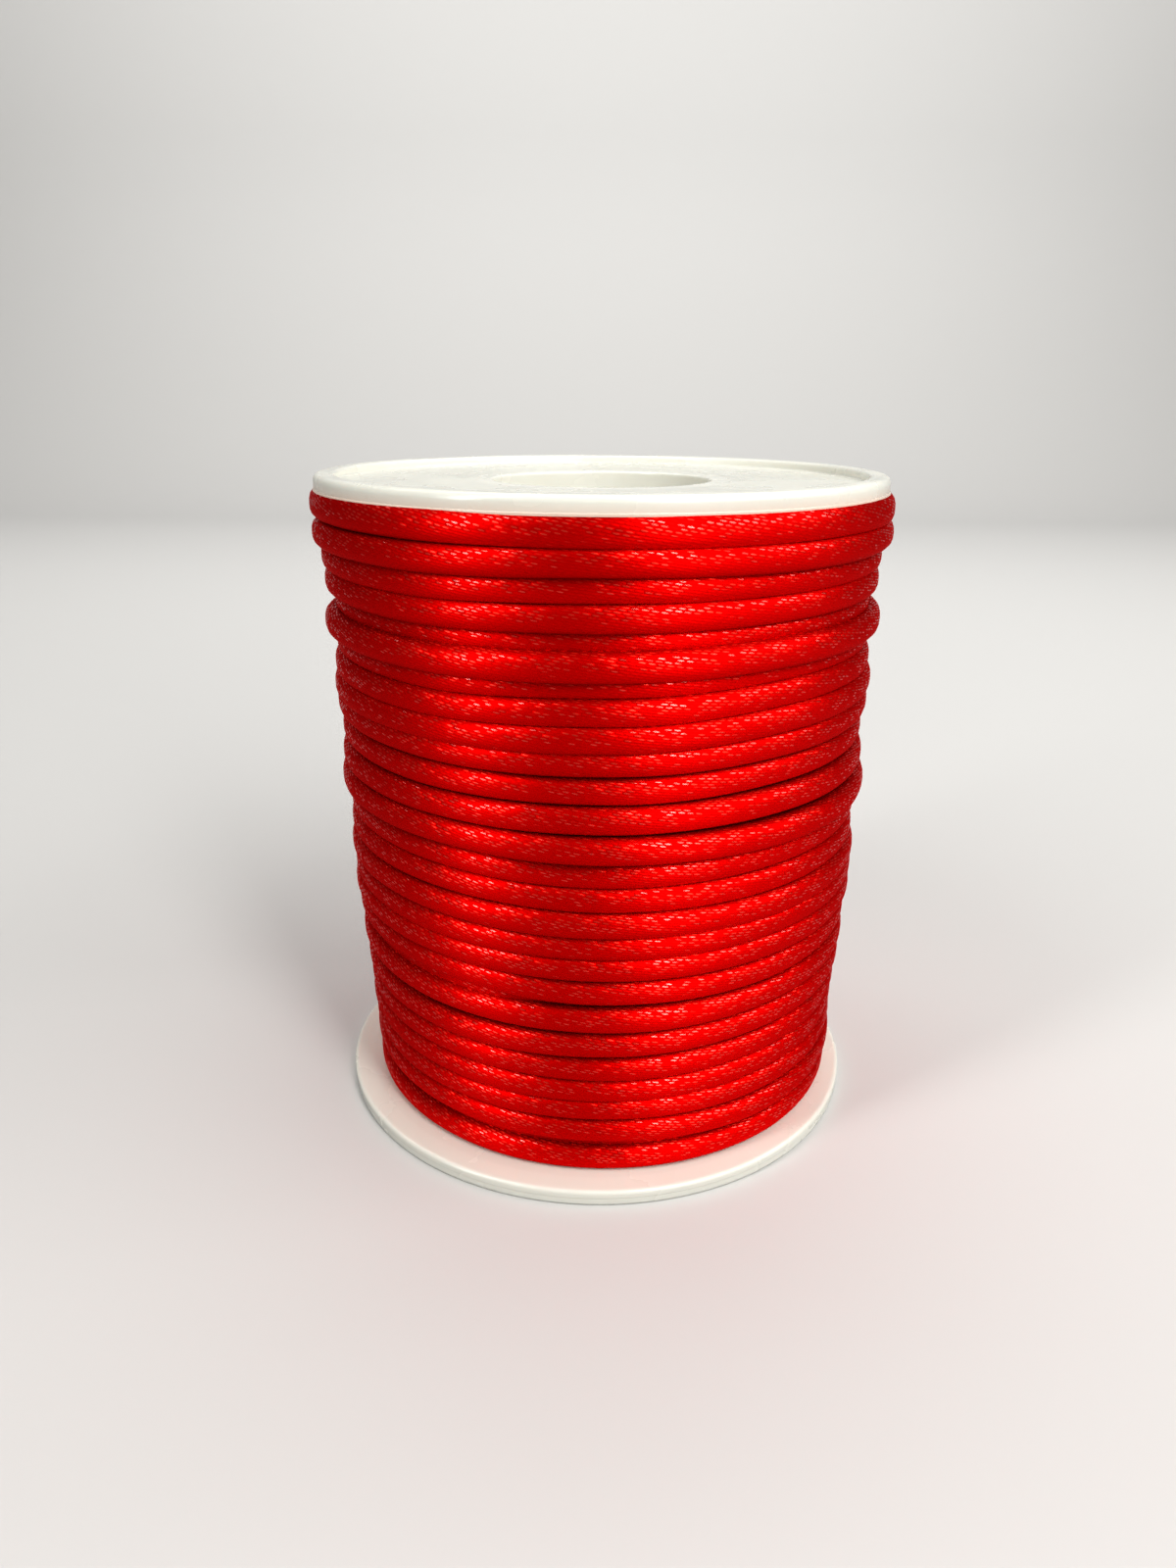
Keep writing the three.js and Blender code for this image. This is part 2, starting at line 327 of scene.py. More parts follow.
def makeSatin(name, look, shade):
    material = bpy.data.materials.new(name)
    material.use_nodes = True
    tree = material.node_tree
    shader = tree.nodes["Principled BSDF"]
    shader.inputs["IOR"].default_value = look["ior"]
    shader.inputs["Specular IOR Level"].default_value = look["specular"]
    shader.inputs["Specular Tint"].default_value = look["specularTint"]
    shader.inputs["Anisotropic"].default_value = look["anisotropy"]
    shader.inputs["Anisotropic Rotation"].default_value = 0.25  # gloss spreads across the threads
    shader.inputs["Metallic"].default_value = look["metal"]
    shader.inputs["Coat Roughness"].default_value = look["glintRough"]
    shader.inputs["Coat IOR"].default_value = look["glintIor"]
    threads = addNode(tree, "ShaderNodeUVMap", (-1100, 0), uv_map="alongCord")
    floats = addNode(tree, "ShaderNodeGroup", (-900, 0), node_tree=satinFloats)
    floats.inputs["Float Length"].default_value = look["floatLength"]
    floats.inputs["Float Width"].default_value = look["floatWidth"]
    floats.inputs["Slant"].default_value = look["slant"]
    tree.links.new(threads.outputs[0], floats.inputs["Vector"])
    # Painted shade: the crown colour fades to a darker red in the dips between floats
    tone = addNode(tree, "ShaderNodeMix", (-600, 250), data_type="RGBA")
    tone.inputs["A"].default_value = [c * shade for c in look["dipPaintedShade"][:3]] + [1.0]
    tone.inputs["B"].default_value = [c * shade for c in look["crown"][:3]] + [1.0]
    tree.links.new(floats.outputs["Crown"], tone.inputs["Factor"])
    # Dye takes a little unevenly along the cord
    uneven = addNode(tree, "ShaderNodeTexNoise", (-900, 420))
    uneven.inputs["Scale"].default_value = 90.0
    uneven.inputs["Detail"].default_value = 3.0
    tree.links.new(threads.outputs[0], uneven.inputs["Vector"])
    variation = look["tintVariation"]
    least = 1.0 - variation / 2
    dyeAndPaintedShade = mathNode(tree, "MULTIPLY_ADD", (-600, 480), uneven.outputs["Fac"], variation, least)
    dyedWithPaintedShade = addNode(tree, "ShaderNodeHueSaturation", (-380, 300))
    tree.links.new(tone.outputs["Result"], dyedWithPaintedShade.inputs["Color"])
    # Painted shade: the cord's sides towards the grooves between turns are painted a deeper red than its
    # open face
    roundPlace = addNode(tree, "ShaderNodeSeparateXYZ", (-900, 640))
    tree.links.new(threads.outputs[0], roundPlace.inputs[0])
    girth = 2 * math.pi * winding["cordRadius"] * mm
    roundShare = mathNode(tree, "MULTIPLY_ADD", (-720, 640), roundPlace.outputs[1], 1 / girth, -0.5)
    fromFace = mathNode(tree, "ABSOLUTE", (-600, 640), roundShare)
    paintedGrooveShadeFactor = addNode(tree, "ShaderNodeMapRange", (-480, 640), interpolation_type="SMOOTHSTEP")
    paintedGrooveShadeFactor.inputs["From Min"].default_value = 0.24
    paintedGrooveShadeFactor.inputs["From Max"].default_value = 0.1
    paintedGrooveShadeFactor.inputs["To Min"].default_value = look["paintedGrooveShade"]
    tree.links.new(fromFace, paintedGrooveShadeFactor.inputs["Value"])
    # Uneven dye, times the painted groove shade
    dyeAndPaintedShade = mathNode(tree, "MULTIPLY", (-440, 480), dyeAndPaintedShade, paintedGrooveShadeFactor.outputs[0])
    tree.links.new(dyeAndPaintedShade, dyedWithPaintedShade.inputs["Value"])
    # Only some floats lie taut enough to glint, few on the underside, and only on their crowns
    upward = addNode(tree, "ShaderNodeMapRange", (-900, 200), interpolation_type="SMOOTHSTEP")
    upward.inputs["From Min"].default_value = -0.07
    upward.inputs["From Max"].default_value = 0.04
    upward.inputs["To Min"].default_value = -0.6
    upward.inputs["To Max"].default_value = 0.0
    tree.links.new(roundShare, upward.inputs["Value"])
    favoured = mathNode(tree, "ADD", (-820, 60), floats.outputs["Random"], upward.outputs[0])
    taut = addNode(tree, "ShaderNodeMapRange", (-760, 0))
    taut.inputs["From Min"].default_value = 0.9 - look["shinyShare"]
    taut.inputs["From Max"].default_value = 1.1 - look["shinyShare"]
    tree.links.new(favoured, taut.inputs["Value"])
    glintAndPaintedHighlight = mathNode(tree, "MULTIPLY", (-600, 60), taut.outputs[0], floats.outputs["Crown"], clamp=True)
    rough = addNode(tree, "ShaderNodeMapRange", (-440, 0))
    rough.inputs["To Min"].default_value = look["roughDull"]
    rough.inputs["To Max"].default_value = look["roughShiny"]
    tree.links.new(glintAndPaintedHighlight, rough.inputs["Value"])
    tree.links.new(rough.outputs[0], shader.inputs["Roughness"])
    tree.links.new(glintAndPaintedHighlight, shader.inputs["Coat Weight"])
    # Painted highlight: the crowns of taut floats, mostly on the cord's upper side, are painted a lighter
    # peach-red
    paintedHighlight = addNode(tree, "ShaderNodeMix", (-200, 300), data_type="RGBA")
    paintedHighlight.inputs["B"].default_value = [c * shade for c in look["glintAndPaintedHighlight"][:3]] + [1.0]
    tree.links.new(glintAndPaintedHighlight, paintedHighlight.inputs["Factor"])
    tree.links.new(dyedWithPaintedShade.outputs[0], paintedHighlight.inputs["A"])
    tree.links.new(paintedHighlight.outputs["Result"], shader.inputs["Base Color"])
    relief = addNode(tree, "ShaderNodeBump", (-380, -250))
    relief.inputs["Strength"].default_value = look["reliefStrength"]
    relief.inputs["Distance"].default_value = look["reliefDepth"]
    tree.links.new(floats.outputs["Height"], relief.inputs["Height"])
    grainLine = addNode(tree, "ShaderNodeTangent", (-1100, -650), direction_type="UV_MAP")
    grainLine.uv_map = "alongCord"
    tree.links.new(grainLine.outputs[0], shader.inputs["Tangent"])
    # Each taut float lies at its own slight tilt, so that they catch the light one by one
    surface = addNode(tree, "ShaderNodeNewGeometry", (-1100, -450))
    crossLine = addNode(tree, "ShaderNodeVectorMath", (-900, -520), operation="CROSS_PRODUCT")
    tree.links.new(surface.outputs["Normal"], crossLine.inputs[0])
    tree.links.new(grainLine.outputs[0], crossLine.inputs[1])
    lie = addNode(tree, "ShaderNodeSeparateColor", (-700, -380))
    tree.links.new(floats.outputs["Lie"], lie.inputs[0])
    normal = relief.outputs[0]
    leans = ((crossLine, look["tiltAcross"]), (grainLine, look["tiltAlong"]))
    for index, (line, amount) in enumerate(leans):
        lean = mathNode(tree, "SUBTRACT", (-520, -400 - 160 * index), lie.outputs[index + 1], 0.5)
        lean = mathNode(tree, "MULTIPLY", (-380, -400 - 160 * index), lean, taut.outputs[0])
        lean = mathNode(tree, "MULTIPLY", (-240, -400 - 160 * index), lean, 2 * amount)
        tilted = addNode(tree, "ShaderNodeVectorMath", (-80, -400 - 160 * index), operation="MULTIPLY_ADD")
        tree.links.new(line.outputs[0], tilted.inputs[0])
        tree.links.new(lean, tilted.inputs[1])
        tree.links.new(normal, tilted.inputs[2])
        normal = tilted.outputs[0]
    straight = addNode(tree, "ShaderNodeVectorMath", (80, -400), operation="NORMALIZE")
    tree.links.new(normal, straight.inputs[0])
    tree.links.new(straight.outputs[0], shader.inputs["Normal"])
    return material


# White moulded plastic, a little creamy
plasticLook = {
    "fresh": (0.71, 0.7, 0.62, 1.0),
    "scuffed": (0.6, 0.6, 0.55, 1.0),
    "webPaintedShade": 0.97,
    "collar": 1.06,
    "paintedCordBounce": (1.0, 0.76, 0.68, 1.0),
    "roughFresh": 0.2,
    "roughScuffed": 0.42,
    "waveDepth": 0.0001,
    "waveStrength": 0.25,
    "glow": 0.12,
    "glowScale": 0.0012,
    "glowSpread": (1.0, 0.8, 0.65),
    "ior": 1.52,
}


def makePlastic(name, look, scratchScale, scuffShare):
    material = bpy.data.materials.new(name)
    material.use_nodes = True
    tree = material.node_tree
    shader = tree.nodes["Principled BSDF"]
    shader.inputs["Subsurface Weight"].default_value = look["glow"]
    shader.inputs["Subsurface Radius"].default_value = look["glowSpread"]
    shader.inputs["Subsurface Scale"].default_value = look["glowScale"]
    shader.inputs["IOR"].default_value = look["ior"]
    place = addNode(tree, "ShaderNodeTexCoord", (-1100, 0))
    wear = addNode(tree, "ShaderNodeGroup", (-900, 0), node_tree=plasticWear)
    wear.inputs["Scratch Scale"].default_value = scratchScale
    tree.links.new(place.outputs["Object"], wear.inputs["Vector"])
    share = mathNode(tree, "MULTIPLY", (-680, 200), wear.outputs["Scratches"], scuffShare, clamp=True)
    tone = addNode(tree, "ShaderNodeMix", (-460, 250), data_type="RGBA")
    tone.inputs["A"].default_value = look["fresh"]
    tone.inputs["B"].default_value = look["scuffed"]
    tree.links.new(share, tone.inputs["Factor"])
    # Painted shade and light: the thin web is painted a shade greyer than the thick rim, and the collar
    # round the hole is painted lighter
    flat = addNode(tree, "ShaderNodeVectorMath", (-900, 480), operation="MULTIPLY")
    flat.inputs[1].default_value = (1.0, 1.0, 0.0)
    tree.links.new(place.outputs["Object"], flat.inputs[0])
    fromAxis = addNode(tree, "ShaderNodeVectorMath", (-740, 480), operation="LENGTH")
    tree.links.new(flat.outputs[0], fromAxis.inputs[0])
    webEdge = (spool["flangeRadius"] - spool["rimWidth"]) * mm
    paintedWebShadeFactor = addNode(tree, "ShaderNodeMapRange", (-580, 560), interpolation_type="SMOOTHSTEP")
    paintedWebShadeFactor.inputs["From Min"].default_value = webEdge - 0.0003
    paintedWebShadeFactor.inputs["From Max"].default_value = webEdge + 0.0001
    paintedWebShadeFactor.inputs["To Min"].default_value = look["webPaintedShade"]
    tree.links.new(fromAxis.outputs["Value"], paintedWebShadeFactor.inputs["Value"])
    # Painted light: the collar and the hole's lip are painted brighter than the web
    collarEdge = (spool["holeRadius"] + spool["collarWall"]) * mm
    paintedCollarLightFactor = addNode(tree, "ShaderNodeMapRange", (-580, 400), interpolation_type="SMOOTHSTEP")
    paintedCollarLightFactor.inputs["From Min"].default_value = collarEdge + 0.0015
    paintedCollarLightFactor.inputs["From Max"].default_value = collarEdge
    paintedCollarLightFactor.inputs["To Min"].default_value = look["webPaintedShade"]
    paintedCollarLightFactor.inputs["To Max"].default_value = look["collar"]
    tree.links.new(fromAxis.outputs["Value"], paintedCollarLightFactor.inputs["Value"])
    paintedWebShadeAndCollarLight = mathNode(tree, "MAXIMUM", (-420, 480), paintedWebShadeFactor.outputs[0], paintedCollarLightFactor.outputs[0])
    wearWithPaintedLight = addNode(tree, "ShaderNodeHueSaturation", (-260, 300))
    tree.links.new(tone.outputs["Result"], wearWithPaintedLight.inputs["Color"])
    tree.links.new(paintedWebShadeAndCollarLight, wearWithPaintedLight.inputs["Value"])
    # Painted light: red from the winding, shining through the upper rim where it touches the winding, is
    # painted onto the rim's outer face
    height = addNode(tree, "ShaderNodeSeparateXYZ", (-900, 720))
    tree.links.new(place.outputs["Object"], height.inputs[0])
    near = addNode(tree, "ShaderNodeMapRange", (-420, 720))
    near.inputs["From Min"].default_value = (spool["height"] - 0.4) * mm
    near.inputs["From Max"].default_value = (spool["height"] - spool["rimHeight"]) * mm
    tree.links.new(height.outputs[2], near.inputs["Value"])
    upper = mathNode(tree, "GREATER_THAN", (-600, 860), height.outputs[2], spool["height"] / 2 * mm)
    upper = mathNode(tree, "MULTIPLY", (-420, 860), upper, near.outputs[0])
    outerFace = addNode(tree, "ShaderNodeMapRange", (-420, 900))
    outerFace.inputs["From Min"].default_value = (spool["flangeRadius"] - 0.1) * mm
    outerFace.inputs["From Max"].default_value = spool["flangeRadius"] * mm
    tree.links.new(fromAxis.outputs["Value"], outerFace.inputs["Value"])
    paintedRedBounce = addNode(tree, "ShaderNodeMix", (-100, 500), data_type="RGBA", blend_type="MULTIPLY")
    paintedRedBounce.inputs["B"].default_value = look["paintedCordBounce"]
    paintedRedBounceShare = mathNode(tree, "MULTIPLY", (-260, 720), upper, outerFace.outputs[0])
    tree.links.new(paintedRedBounceShare, paintedRedBounce.inputs["Factor"])
    tree.links.new(wearWithPaintedLight.outputs[0], paintedRedBounce.inputs["A"])
    tree.links.new(paintedRedBounce.outputs["Result"], shader.inputs["Base Color"])
    rough = addNode(tree, "ShaderNodeMapRange", (-460, 0))
    rough.inputs["To Min"].default_value = look["roughFresh"]
    rough.inputs["To Max"].default_value = look["roughScuffed"]
    tree.links.new(wear.outputs["Patches"], rough.inputs["Value"])
    tree.links.new(rough.outputs[0], shader.inputs["Roughness"])
    relief = addNode(tree, "ShaderNodeBump", (-260, -250))
    relief.inputs["Strength"].default_value = look["waveStrength"]
    relief.inputs["Distance"].default_value = look["waveDepth"]
    tree.links.new(wear.outputs["Wave"], relief.inputs["Height"])
    tree.links.new(relief.outputs[0], shader.inputs["Normal"])
    return material


cordSatin = makeSatin("cordSatin", satinLook, 1.0)
# Painted shade: the layers beneath get a darker copy of the same satin, at 0.7 of its colour
paintedShadeInnerSatin = makeSatin("paintedShadeInnerSatin", satinLook, 0.7)
flangePlastic = makePlastic("flangePlastic", plasticLook, 420.0, 0.6)
borePlastic = makePlastic("borePlastic", plasticLook, 260.0, 0.4)
print("stage 3: satin and plastic are made")


def smooth(value, low, high):
    share = np.clip((value - low) / (high - low), 0, 1)
    return share * share * (3 - 2 * share)


# The cord's middle line at a count of turns from the back, round by the left side
def cordLine(turnCount):
    table = np.array(winding["turns"])
    turn = np.clip(np.floor(turnCount), 0, len(table) - 1).astype(int)
    share = turnCount - turn
    here = table[turn]
    below = table[np.maximum(turn - 1, 0)]
    climb = smooth(share, 0, winding["climbStretch"])
    leftShare, frontShare, rightShare = winding["heightShares"]
    height = below[:, 2] + (here[:, 0] - below[:, 2]) * climb
    height = height + (here[:, 1] - here[:, 0]) * smooth(share, leftShare, frontShare)
    height = height + (here[:, 2] - here[:, 1]) * smooth(share, frontShare, rightShare)
    reach = below[:, 3] + (here[:, 3] - below[:, 3]) * climb
    return math.pi / 2 + 2 * math.pi * turnCount, height, reach


# A soft cord pressed against its neighbours: a round section, flattened where it meets them
def windCord(name, turnCount, angle, height, reach, sides, stepsPerTurn, material):
    steps = len(turnCount)
    radius = winding["cordRadius"]
    middle = reach - winding["flatFront"]
    farOff = 40  # a limit too far out to press on the cord
    leastFacing = 0.05
    beta = 2 * math.pi * np.arange(sides) / sides + math.pi
    size = np.full((steps, sides), radius * winding["looseSize"])
    # Distance and direction to the turn above, the turn below and the layer beneath
    neighbours = []
    for offset in (stepsPerTurn, -stepsPerTurn):
        shifted = np.arange(steps) + offset
        there = (shifted >= 0) & (shifted < steps)
        shifted = np.clip(shifted, 0, steps - 1)
        rise = height[shifted] - height
        out = middle[shifted] - middle
        gap = np.where(there, np.hypot(rise, out), 4 * radius)
        neighbours.append((gap, np.arctan2(rise, out)))
    neighbours.append((np.full(steps, winding["layerStep"]), np.full(steps, math.pi)))
    neighbours.append((np.full(steps, 2 * winding["flatFront"]), np.zeros(steps)))
    softness = winding["softness"]
    pressed = np.exp(-softness * size)
    for gap, direction in neighbours:
        facing = np.cos(beta[None, :] - direction[:, None])
        limit = gap[:, None] / 2 / np.maximum(facing, leastFacing)
        limit = np.where(facing > leastFacing, limit, farOff)
        pressed = pressed + np.exp(-softness * np.minimum(limit, farOff))
    size = -np.log(pressed) / softness + winding["pressedSwell"]
    # What is pressed in above and below swells the whole section a little
    squeeze = np.clip(2 * radius - (neighbours[0][0] + neighbours[1][0]) / 2, 0, 0.6)
    size = size * (1 + winding["squeezeSwell"] * squeeze[:, None])
    # Small lumps along the cord
    run = np.concatenate([[0], np.cumsum(np.diff(angle) * 0.5 * (middle[1:] + middle[:-1]))])
    lumps = 0.018 * np.sin(run / 1.9 + 0.6) * np.sin(run / 5.3) + 0.014 * np.sin(run / 3.1 + 2.0)
    size = size + lumps[:, None] * (0.6 + 0.4 * np.cos(beta[None, :] * 2 + run[:, None] / 7))
    shiftShare = 1 - height / spool["height"]
    outward = middle[:, None] + size * np.cos(beta)[None, :]
    # The last turn is squeezed up against the flange's rim
    crowded = smooth(turnCount, turnCount[-1] - 1.1, turnCount[-1] - 0.9) * winding["rimPress"]
    upperHalf = np.sin(beta)[None, :] > 0
    lift = height[:, None] + size * np.sin(beta)[None, :] * (1 + crowded[:, None] * upperHalf)
    x = outward * np.cos(angle)[:, None] + winding["shift"][0] * shiftShare[:, None]
    y = outward * np.sin(angle)[:, None] + winding["shift"][1] * shiftShare[:, None]
    points = np.stack([x, y, lift], axis=2).reshape(-1, 3) * mm
    here = np.arange(steps - 1)[:, None] * sides
    side = np.arange(sides)[None, :]
    nextSide = (side + 1) % sides
    quads = np.stack([here + side, here + sides + side, here + sides + nextSide, here + nextSide], axis=2)
    quads = quads.reshape(-1, 4)
    girth = 2 * math.pi * radius
    u0 = np.broadcast_to(run[:-1, None], (steps - 1, sides))
    u1 = np.broadcast_to(run[1:, None], (steps - 1, sides))
    v0 = np.broadcast_to(side * girth / sides, (steps - 1, sides))
    v1 = v0 + girth / sides
    corners = np.stack([u0, v0, u1, v0, u1, v1, u0, v1], axis=2).reshape(-1, 2) * mm
    caps = [tuple(range(sides))[::-1], tuple(range((steps - 1) * sides, steps * sides))]
    return makePiece(name, points, quads, [material], caps, corners)


# The outer layer's cord. Its ends tuck down into the layer beneath.
def makeOuterLayer():
    stepsPerTurn = winding["stepsPerTurn"]
    first = winding["climbStretch"] - winding["endOverlap"]
    last = len(winding["turns"]) + winding["endOverlap"] + winding["endRun"]
    count = int((last - first) * stepsPerTurn)
    turnCount = first + np.arange(count) / stepsPerTurn
    angle, height, reach = cordLine(turnCount)
    startTuck = np.clip(1 - (turnCount - first) / winding["tuckStretch"], 0, 1)
    endTuck = np.clip(1 - (turnCount[-1] - turnCount) / winding["tuckStretch"], 0, 1)
    reach = reach - winding["tuckDepth"] * (startTuck**2 + endTuck**2)
    # Hand-guided cord never lies quite true
    height = height + winding["waver"] * np.sin(turnCount * 9.7) * np.sin(turnCount * 3.1 + 1.0)
    reach = reach + winding["waver"] * np.sin(turnCount * 7.9 + 0.4)
    sides = winding["sides"]
    return windCord("cordOuterLayer", turnCount, angle, height, reach, sides, stepsPerTurn, cordSatin)


# Turns of the layer beneath that bulge out where two outer turns part:
# the outer turn below, where it shows from and to in shares of a turn, and how far out it stands
peeks = {
    "cordPeekMiddle": {"below": 6, "from": 0.17, "to": 0.53, "reach": 20.7},
    "cordPeekFoot": {"below": 0, "from": 0.2, "to": 0.8, "reach": 19.75},
}
peekEnds = {"rise": 0.06, "fall": 0.1, "depth": 1.3}


def makePeek(name, peek):
    stepsPerTurn = winding["stepsPerTurn"]
    share = np.arange(peek["from"], peek["to"], 1 / stepsPerTurn)
    angle, lowHeight = cordLine(peek["below"] + share)[:2]
    highHeight = cordLine(peek["below"] + 1 + share)[1]
    risen = smooth(share, peek["from"], peek["from"] + peekEnds["rise"])
    fallen = smooth(share, peek["to"] - peekEnds["fall"], peek["to"])
    dive = 1 - risen * (1 - fallen)
    reach = peek["reach"] - peekEnds["depth"] * dive
    height = (lowHeight + highHeight) / 2
    return windCord(name, share, angle, height, reach, winding["sides"], stepsPerTurn, cordSatin)


# The layer beneath, which shows only where turns part. It climbs the other way.
beneath = {"pitch": 1.93, "stepsPerTurn": 64, "sides": 12, "extraDepth": 0.1, "endRoom": 1.1}


def makeSecondLayer():
    pitch = beneath["pitch"]
    stepsPerTurn = beneath["stepsPerTurn"]
    room = spool["height"] - 2 * spool["rimHeight"] - 2 * beneath["endRoom"]
    count = int(room / pitch * stepsPerTurn)
    turnCount = np.arange(count) / stepsPerTurn
    height = spool["rimHeight"] + beneath["endRoom"] + pitch * turnCount
    rows = np.array(winding["turns"])
    evened = np.convolve(np.pad(rows[:, 3], 2, mode="edge"), np.ones(5) / 5, "valid")
    reach = np.interp(height, rows[:, 1], evened) - winding["layerStep"] - beneath["extraDepth"]
    angle = -math.pi / 2 - 2 * math.pi * turnCount
    sides = beneath["sides"]
    piece = windCord("cordSecondLayer", turnCount, angle, height, reach, sides, stepsPerTurn, paintedShadeInnerSatin)
    piece.data.flip_normals()
    return piece


# The layers further in, as one ribbed body down to the barrel
core = {
    "segments": 96,
    "endGap": 0.1,
    "barrelGap": 0.05,
    "lowRadius": 17.0,
    "highRadius": 18.6,
    "ribDepth": 0.35,
    "stepsPerRib": 4,
}


def makeInnerLayers():
    low = spool["rimHeight"] + core["endGap"]
    high = spool["height"] - low
    heights = np.linspace(low, high, len(winding["turns"]) * core["stepsPerRib"] + 1)
    base = np.interp(heights, [low, high], [core["lowRadius"], core["highRadius"]])
    ribs = base - core["ribDepth"] * np.abs(np.sin(np.pi * (heights - low) / beneath["pitch"]))
    bore = spool["barrelOuter"] + core["barrelGap"]
    profile = [(bore, low)] + list(zip(ribs, heights)) + [(bore, high)]
    return turnProfile("cordInnerLayers", profile, core["segments"], 0.0, 1, paintedShadeInnerSatin)


# A closed profile of (radius, height), turned round the spool's axis
def turnProfile(name, profile, segments, base, direction, material):
    profile = np.array(profile)
    count = len(profile)
    turns = 2 * math.pi * np.arange(segments) / segments
    x = profile[None, :, 0] * np.cos(turns)[:, None]
    y = profile[None, :, 0] * np.sin(turns)[:, None]
    z = np.broadcast_to(base + direction * profile[None, :, 1], x.shape)
    points = np.stack([x, y, z], axis=2).reshape(-1, 3) * mm
    here = np.arange(segments)[:, None] * count
    after = ((np.arange(segments) + 1) % segments)[:, None] * count
    row = np.arange(count)[None, :]
    nextRow = (row + 1) % count
    quads = np.stack([here + row, after + row, after + nextRow, here + nextRow], axis=2).reshape(-1, 4)
    piece = makePiece(name, points, quads, [material])
    if direction < 0:
        piece.data.flip_normals()
    return piece


# Corners (radius, height, rounding) joined into a closed profile with round corners
def roundCorners(corners, steps):
    bulge = 0.7025  # how far a round swells from its chord towards the corner
    profile = []
    for index, (r, z, rounding) in enumerate(corners):
        corner = Vector((r, z))
        before = Vector(corners[index - 1][:2])
        after = Vector(corners[(index + 1) % len(corners)][:2])
        if rounding == 0:
            profile.append((r, z))
            continue
        start = corner + (before - corner).normalized() * rounding
        end = corner + (after - corner).normalized() * rounding
        for step in range(steps + 1):
            t = step / steps
            chord = start.lerp(end, t)
            bow = 4 * t * (1 - t)
            profile.append(tuple(chord + (corner - (start + end) / 2) * bow * bulge))
    return profile


def makeFlange(name, base, direction, flash, cordSideRound):
    rimInner = spool["flangeRadius"] - spool["rimWidth"]
    collar = spool["holeRadius"] + spool["collarWall"]
    corners = [
        (spool["holeRadius"], -spool["collarDepth"], 0.2),
        (collar, -spool["collarDepth"], 0.2),
        (collar, 0, 0),
        (spool["flangeRadius"] + flash, 0, cordSideRound),
        (spool["flangeRadius"] + flash, spool["flashFoot"] + cordSideRound, 0.04),
        (spool["flangeRadius"] - spool["flashStep"], spool["flashTop"] + cordSideRound, 0.03),
        (spool["flangeRadius"] - spool["rimDraft"], spool["rimHeight"], spool["rimRound"] - cordSideRound),
        (rimInner, spool["rimHeight"], 0.4),
        (rimInner - spool["webDraft"], spool["webThickness"], 0.2),
        (spool["holeRadius"], spool["webThickness"], 0.3),
    ]
    profile = roundCorners(corners, spool["roundSteps"])
    return turnProfile(name, profile, spool["segments"], base, direction, flangePlastic)


def makeBarrel():
    low = barrelBox[0][2] / mm
    high = barrelBox[1][2] / mm
    corners = [
        (spool["barrelInner"], low, 0),
        (spool["barrelOuter"], low, 0),
        (spool["barrelOuter"], high, 0),
        (spool["barrelInner"], high, 0),
    ]
    return turnProfile("barrelTube", roundCorners(corners, 1), spool["segments"], 0.0, 1, borePlastic)


upperFlange = makeFlange("flangeUpper", spool["height"] - spool["rimHeight"], 1, spool["rimFlash"], 0.04)
lowerFlange = makeFlange("flangeLower", spool["rimHeight"], -1, 0.0, 0.45)
barrelTube = makeBarrel()
print("stage 4: flanges and barrel are moulded")

outerLayer = makeOuterLayer()
peekTurns = [makePeek(name, peek) for name, peek in peeks.items()]
secondLayer = makeSecondLayer()
innerLayers = makeInnerLayers()
print("stage 5: the cord is wound")

for piece, slotName in (
    (upperFlange, "spool_plastic"),
    (lowerFlange, "spool_plastic"),
    (barrelTube, "spool_plastic"),
    (outerLayer, "satin_cord"),
    (secondLayer, "satin_cord"),
    (innerLayers, "satin_cord"),
    *((turn, "satin_cord") for turn in peekTurns),
):
    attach(piece, "root")
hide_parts("flange_top")
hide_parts("flange_bottom")
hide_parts("barrel")
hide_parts("cord_winding")

# Pale floor that curves up into a wall behind
studio = {
    "floorColor": (0.57, 0.56, 0.54, 1.0),
    "bounceColor": (0.35, 0.35, 0.35, 1.0),
    "front": -0.27,
    "wallPlace": 0.45,
    "curve": 0.2,
    "curveSteps": 12,
    "wallTop": 0.9,
    "halfWidth": 0.6,
    "world": (0.95, 0.94, 0.93),
    "worldStrength": 0.1,
    "worldSeen": 0.6,
}


def makeFloor():
    material = bpy.data.materials.new("paleFloor")
    material.use_nodes = True
    tree = material.node_tree
    shader = tree.nodes["Principled BSDF"]
    shader.inputs["Roughness"].default_value = 0.6
    # Pale to look at, but it throws little light back up at the spool
    seen = addNode(tree, "ShaderNodeLightPath", (-600, 200))
    tone = addNode(tree, "ShaderNodeMix", (-300, 100), data_type="RGBA")
    tone.inputs["A"].default_value = studio["bounceColor"]
    tone.inputs["B"].default_value = studio["floorColor"]
    tree.links.new(seen.outputs["Is Camera Ray"], tone.inputs["Factor"])
    tree.links.new(tone.outputs["Result"], shader.inputs["Base Color"])
    side = [(studio["front"], 0.0)]
    for step in range(studio["curveSteps"] + 1):
        turn = math.pi / 2 * step / studio["curveSteps"]
        y = studio["wallPlace"] + studio["curve"] * math.sin(turn)
        side.append((y, studio["curve"] * (1 - math.cos(turn))))
    side.append((studio["wallPlace"] + studio["curve"], studio["wallTop"]))
    points = [(x, y, z) for y, z in side for x in (-studio["halfWidth"], studio["halfWidth"])]
    quads = [(2 * i, 2 * i + 1, 2 * i + 3, 2 * i + 2) for i in range(len(side) - 1)]
    floor = makePiece("studioFloor", points, quads, [material])
    return floor


makeFloor()

